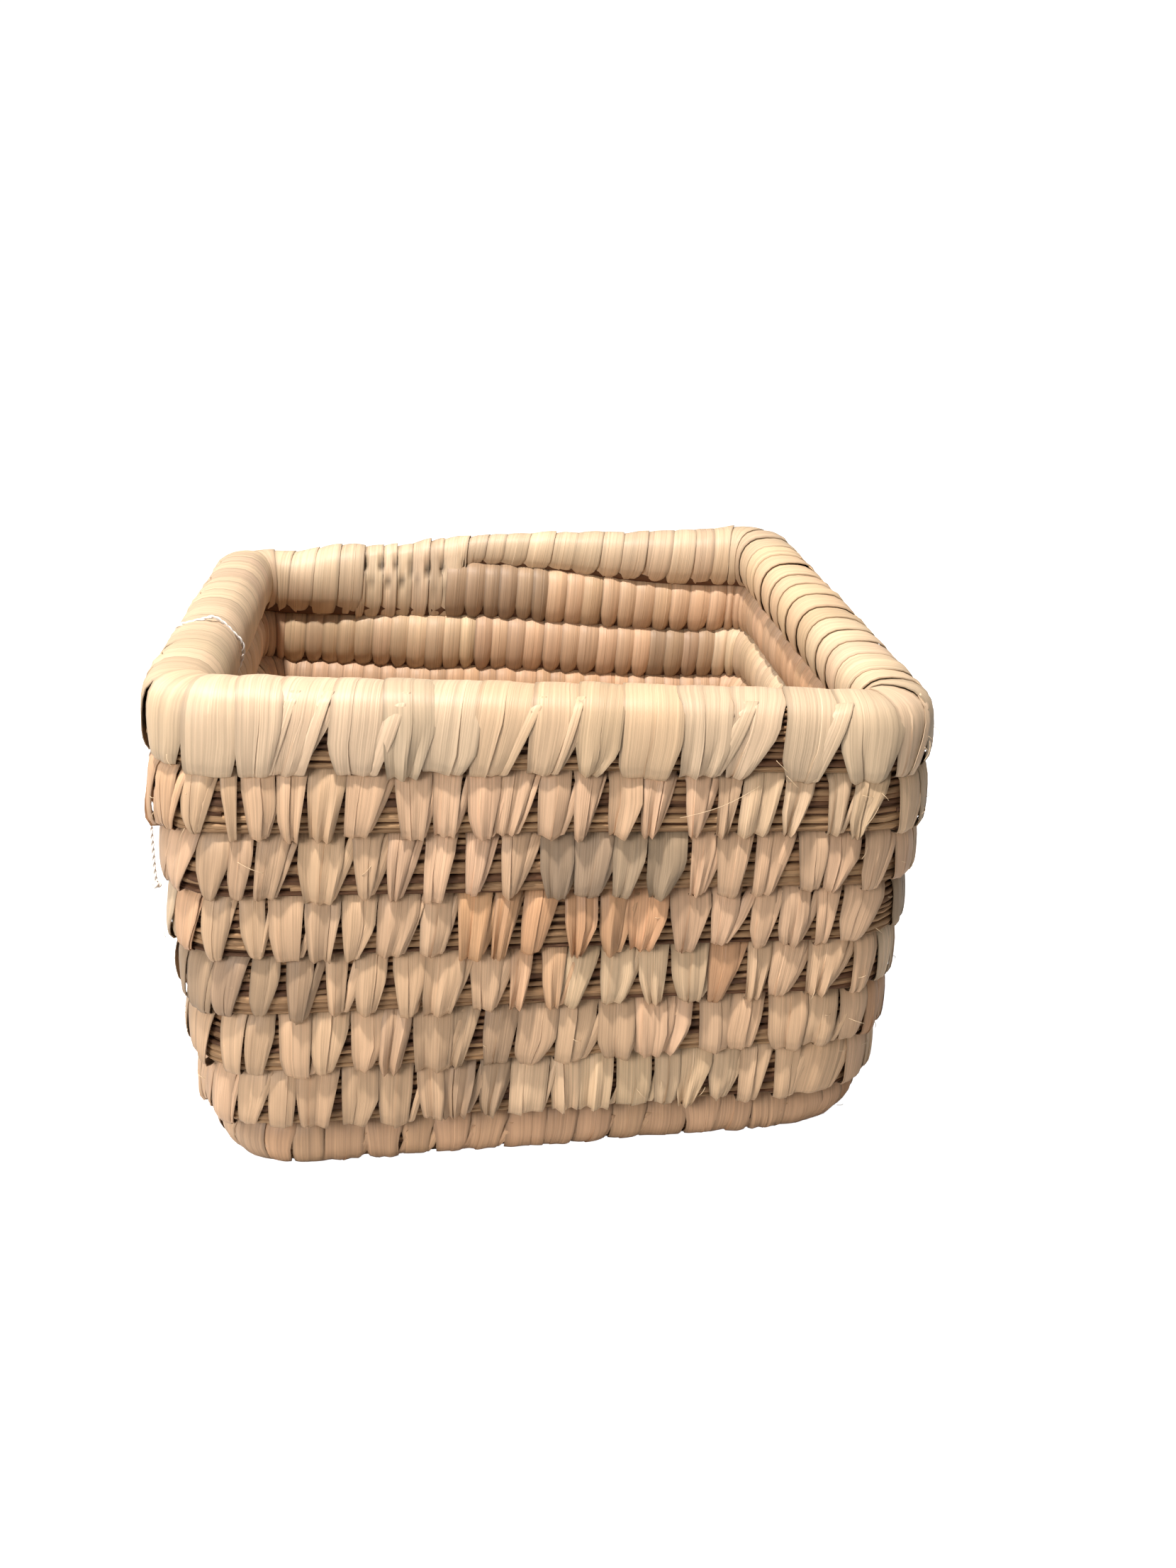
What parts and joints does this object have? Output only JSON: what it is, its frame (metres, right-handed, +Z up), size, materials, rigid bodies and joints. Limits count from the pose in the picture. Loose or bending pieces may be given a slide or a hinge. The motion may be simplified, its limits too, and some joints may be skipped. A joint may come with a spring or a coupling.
{
  "type": "square basket",
  "caption": "Square open basket, coiled from bundles of dry stalks that are wound and bound with palm leaf strips, with a thick wrapped rim.",
  "frame": {"origin": "on the surface the basket stands on, under the middle of the rim", "axes": "+Z up; the side towards the picture's camera faces -Y; +X to its right. The coil's seam is in the +Y wall"},
  "size_m": [0.2707, 0.2597, 0.1796],
  "materials": {
    "palm_leaf": "dry, ribbed palm leaf, satin, cream to tan with peach and olive runs",
    "dry_stalk": "dry thin stalks, dull brown",
    "cotton": "thin white twisted string"
  },
  "bodies": {
    "root": {"base_bundle": "dry_stalk", "row_1_bundle": "dry_stalk", "row_2_bundle": "dry_stalk", "row_3_bundle": "dry_stalk", "row_4_bundle": "dry_stalk", "row_5_bundle": "dry_stalk", "row_6_bundle": "dry_stalk", "row_7_bundle": "dry_stalk", "rim_bundle": "dry_stalk", "base_strip": "palm_leaf", "row_1_strip": "palm_leaf", "row_2_strip": "palm_leaf", "row_3_strip": "palm_leaf", "row_4_strip": "palm_leaf", "row_5_strip": "palm_leaf", "row_6_strip": "palm_leaf", "row_7_strip": "palm_leaf", "rim_strip": "palm_leaf", "string": "cotton"}
  },
  "joints": []
}
